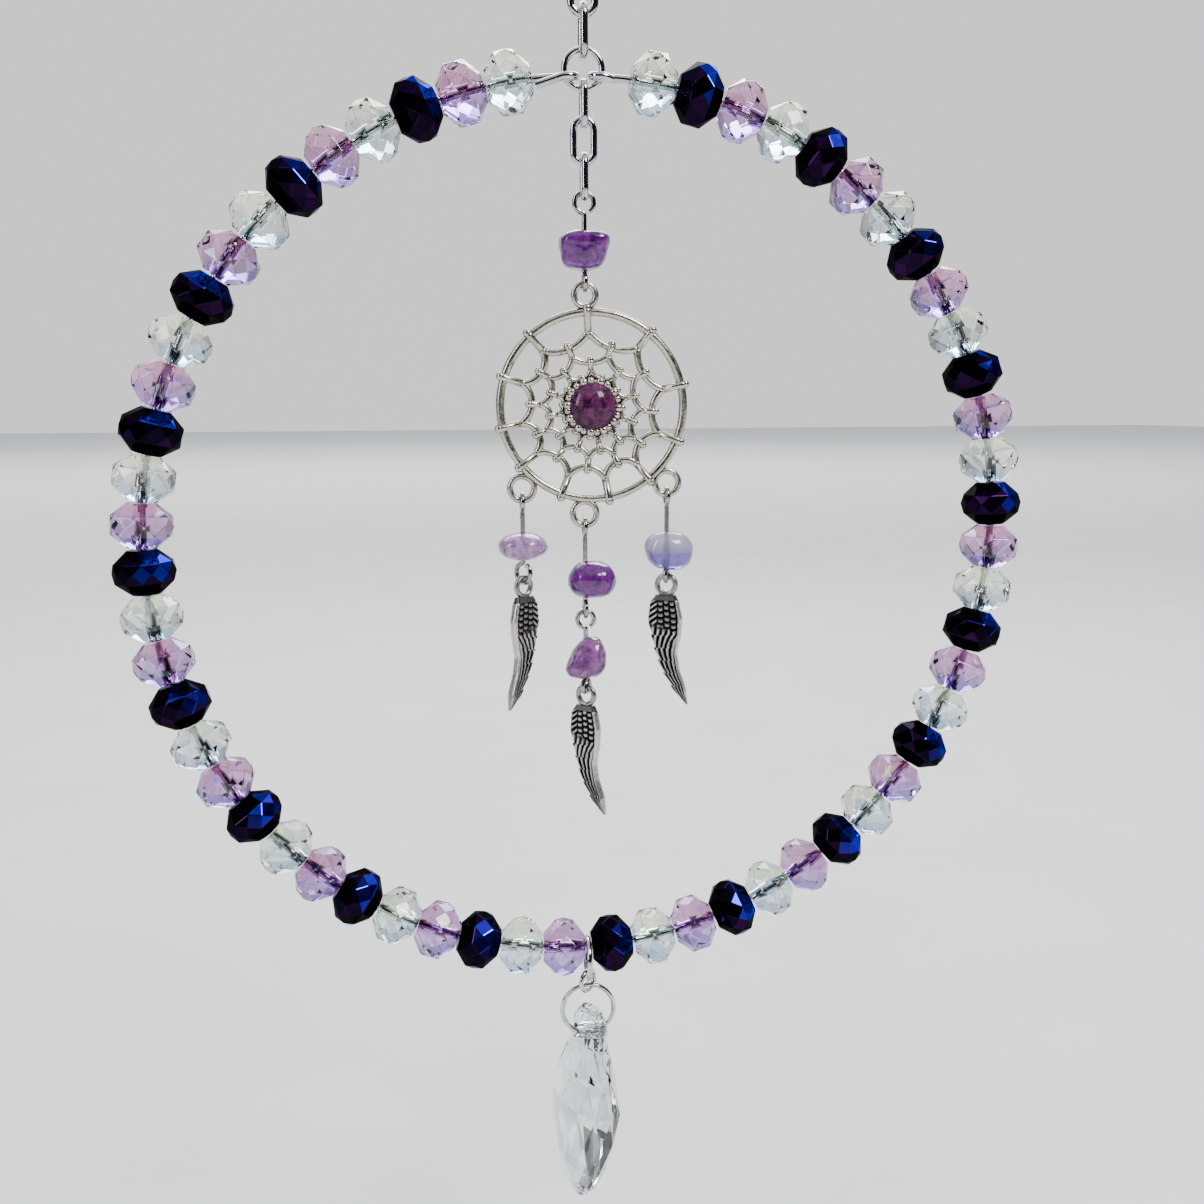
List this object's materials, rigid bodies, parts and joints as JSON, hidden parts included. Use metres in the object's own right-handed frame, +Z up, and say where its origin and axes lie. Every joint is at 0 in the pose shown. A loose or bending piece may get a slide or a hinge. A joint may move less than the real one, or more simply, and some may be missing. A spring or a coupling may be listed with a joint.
{
  "type": "dream catcher",
  "caption": "Hanging dream catcher: faceted glass beads on a wire hoop, a cast web medallion with gemstone chips and wing charms on a chain, and a cut-glass drop below.",
  "frame": {"origin": "centre of the hanging ring at the top, which the whole object hangs from", "axes": "+Z up along the plumb line; the hoop lies in the XZ plane and faces -Y; +X is to the right seen from the front"},
  "size_m": [0.1216, 0.0139, 0.1826],
  "materials": {
    "bright_metal": "polished",
    "hoop_wire_metal": "polished",
    "pin_wire": "polished",
    "antique_casting": "satin",
    "antique_charm": "satin",
    "cabochon_stone": "gloss",
    "amethyst_deep": "polished",
    "amethyst_mid": "polished",
    "amethyst_pale": "polished",
    "amethyst_clear": "polished",
    "clear_glass": "polished",
    "lilac_glass": "polished",
    "dark_glass": "polished",
    "crystal_glass": "polished"
  },
  "bodies": {
    "hanging_ring": {"hanging_ring": "bright_metal"},
    "upper_link_3": {"upper_link_3": "bright_metal"},
    "upper_link_2": {"upper_link_2": "bright_metal"},
    "upper_link_1": {"upper_link_1": "bright_metal"},
    "joining_ring": {"joining_ring": "bright_metal"},
    "hoop": {"hoop_wire": "hoop_wire_metal", "clear_beads_01": "clear_glass", "dark_beads_01": "dark_glass", "lilac_beads_01": "lilac_glass", "clear_beads_02": "clear_glass", "dark_beads_02": "dark_glass", "lilac_beads_02": "lilac_glass", "clear_beads_03": "clear_glass", "dark_beads_03": "dark_glass", "lilac_beads_03": "lilac_glass", "clear_beads_04": "clear_glass", "dark_beads_04": "dark_glass", "lilac_beads_04": "lilac_glass", "clear_beads_05": "clear_glass", "dark_beads_05": "dark_glass", "lilac_beads_05": "lilac_glass", "clear_beads_06": "clear_glass", "dark_beads_06": "dark_glass", "lilac_beads_06": "lilac_glass", "clear_beads_07": "clear_glass", "dark_beads_07": "dark_glass", "lilac_beads_07": "lilac_glass", "clear_beads_08": "clear_glass", "dark_beads_08": "dark_glass", "lilac_beads_08": "lilac_glass", "clear_beads_09": "clear_glass", "dark_beads_09": "dark_glass", "lilac_beads_09": "lilac_glass", "clear_beads_10": "clear_glass", "dark_beads_10": "dark_glass", "lilac_beads_10": "lilac_glass"},
    "drop_loop": {"drop_loop": "bright_metal"},
    "small_ring": {"small_ring": "bright_metal"},
    "big_ring": {"big_ring": "bright_metal"},
    "crystal_drop": {"crystal_drop": "crystal_glass"},
    "centre_link_1": {"centre_link_1": "bright_metal"},
    "centre_link_2": {"centre_link_2": "bright_metal"},
    "centre_link_3": {"centre_link_3": "bright_metal"},
    "top_pin": {"top_pin": "pin_wire"},
    "top_stone": {"top_stone": "amethyst_deep"},
    "medallion": {"medallion": "antique_casting", "cabochon": "cabochon_stone"},
    "left_pin": {"left_pin": "pin_wire"},
    "left_stone": {"left_stone": "amethyst_pale"},
    "left_wing": {"left_wing": "antique_charm"},
    "centre_upper_pin": {"centre_upper_pin": "pin_wire"},
    "centre_upper_stone": {"centre_upper_stone": "amethyst_deep"},
    "centre_lower_pin": {"centre_lower_pin": "pin_wire"},
    "centre_lower_stone": {"centre_lower_stone": "amethyst_mid"},
    "centre_wing": {"centre_wing": "antique_charm"},
    "right_pin": {"right_pin": "pin_wire"},
    "right_stone": {"right_stone": "amethyst_clear"},
    "right_wing": {"right_wing": "antique_charm"}
  },
  "joints": [
    {"name": "upper_link_3_swing", "type": "hinge", "parent": "hanging_ring", "child": "upper_link_3", "pos_m": [0, 0, -0.0054], "axis": [1, 0, 0], "range_deg": [-40, 40]},
    {"name": "upper_link_2_swing", "type": "hinge", "parent": "upper_link_3", "child": "upper_link_2", "pos_m": [0, 0, -0.01027], "axis": [0, 1, 0], "range_deg": [-30, 30]},
    {"name": "upper_link_1_swing", "type": "hinge", "parent": "upper_link_2", "child": "upper_link_1", "pos_m": [0, 0, -0.01524], "axis": [-1, 0, 0], "range_deg": [-40, 40]},
    {"name": "joining_ring_swing", "type": "hinge", "parent": "upper_link_1", "child": "joining_ring", "pos_m": [0, 0, -0.02021], "axis": [0, -1, 0], "range_deg": [-25, 25]},
    {"name": "hoop_swing", "type": "hinge", "parent": "joining_ring", "child": "hoop", "pos_m": [0, 0, -0.02253], "axis": [1, 0, 0], "range_deg": [-12, 12]},
    {"name": "drop_loop_swing", "type": "hinge", "parent": "hoop", "child": "drop_loop", "pos_m": [-0.00014, 0.00118, -0.13846], "axis": [-1, 0, 0], "range_deg": [-40, 40]},
    {"name": "small_ring_swing", "type": "hinge", "parent": "drop_loop", "child": "small_ring", "pos_m": [-0.00014, 0.00118, -0.14315], "axis": [0, 1, 0], "range_deg": [-20, 20]},
    {"name": "big_ring_swing", "type": "hinge", "parent": "small_ring", "child": "big_ring", "pos_m": [-0.00014, 0.00118, -0.14521], "axis": [-0.7071, -0.7071, 0], "range_deg": [-20, 20]},
    {"name": "crystal_drop_swing", "type": "hinge", "parent": "big_ring", "child": "crystal_drop", "pos_m": [-0.00014, 0.00118, -0.15171], "axis": [1, 0, 0], "range_deg": [-15, 15]},
    {"name": "centre_link_1_swing", "type": "hinge", "parent": "joining_ring", "child": "centre_link_1", "pos_m": [0, 0, -0.02408], "axis": [1, 0, 0], "range_deg": [-30, 30]},
    {"name": "centre_link_2_swing", "type": "hinge", "parent": "centre_link_1", "child": "centre_link_2", "pos_m": [0, 0, -0.0285], "axis": [0, 1, 0], "range_deg": [-18, 18]},
    {"name": "centre_link_3_swing", "type": "hinge", "parent": "centre_link_2", "child": "centre_link_3", "pos_m": [0, 0, -0.03287], "axis": [-1, 0, 0], "range_deg": [-30, 30]},
    {"name": "top_pin_swing", "type": "hinge", "parent": "centre_link_3", "child": "top_pin", "pos_m": [0, 0, -0.03724], "axis": [0, -1, 0], "range_deg": [-18, 18]},
    {"name": "top_stone_spin", "type": "hinge", "parent": "top_pin", "child": "top_stone", "pos_m": [0, 0, -0.04614], "axis": [0, 0, 1], "continuous": true},
    {"name": "medallion_swing", "type": "hinge", "parent": "top_pin", "child": "medallion", "pos_m": [0, 0, -0.04848], "axis": [0, 1, 0], "range_deg": [-18, 18]},
    {"name": "left_pin_swing", "type": "hinge", "parent": "medallion", "child": "left_pin", "pos_m": [-0.00844, 0, -0.07533], "axis": [1, 0, 0], "range_deg": [-40, 40]},
    {"name": "left_stone_spin", "type": "hinge", "parent": "left_pin", "child": "left_stone", "pos_m": [-0.00844, 0, -0.08329], "axis": [0, 0, 1], "continuous": true},
    {"name": "left_wing_swing", "type": "hinge", "parent": "left_pin", "child": "left_wing", "pos_m": [-0.00844, 0, -0.08625], "axis": [-0.6428, 0.766, 0], "range_deg": [-40, 40]},
    {"name": "centre_upper_pin_swing", "type": "hinge", "parent": "medallion", "child": "centre_upper_pin", "pos_m": [-0.0002, 0, -0.07873], "axis": [-1, 0, 0], "range_deg": [-40, 40]},
    {"name": "centre_upper_stone_spin", "type": "hinge", "parent": "centre_upper_pin", "child": "centre_upper_stone", "pos_m": [-0.0002, 0, -0.0886], "axis": [0, 0, 1], "continuous": true},
    {"name": "centre_lower_pin_swing", "type": "hinge", "parent": "centre_upper_pin", "child": "centre_lower_pin", "pos_m": [-0.0002, 0, -0.09094], "axis": [0, 1, 0], "range_deg": [-30, 30]},
    {"name": "centre_lower_stone_spin", "type": "hinge", "parent": "centre_lower_pin", "child": "centre_lower_stone", "pos_m": [-0.0002, 0, -0.09932], "axis": [0, 0, 1], "continuous": true},
    {"name": "centre_wing_swing", "type": "hinge", "parent": "centre_lower_pin", "child": "centre_wing", "pos_m": [-0.0002, 0, -0.10135], "axis": [0.6428, 0.766, 0], "range_deg": [-40, 40]},
    {"name": "right_pin_swing", "type": "hinge", "parent": "medallion", "child": "right_pin", "pos_m": [0.01078, 0, -0.07483], "axis": [1, 0, 0], "range_deg": [-40, 40]},
    {"name": "right_stone_spin", "type": "hinge", "parent": "right_pin", "child": "right_stone", "pos_m": [0.01078, 0, -0.08441], "axis": [0, 0, 1], "continuous": true},
    {"name": "right_wing_swing", "type": "hinge", "parent": "right_pin", "child": "right_wing", "pos_m": [0.01078, 0, -0.08644], "axis": [-0.3746, -0.9272, 0], "range_deg": [-40, 40]}
  ]
}
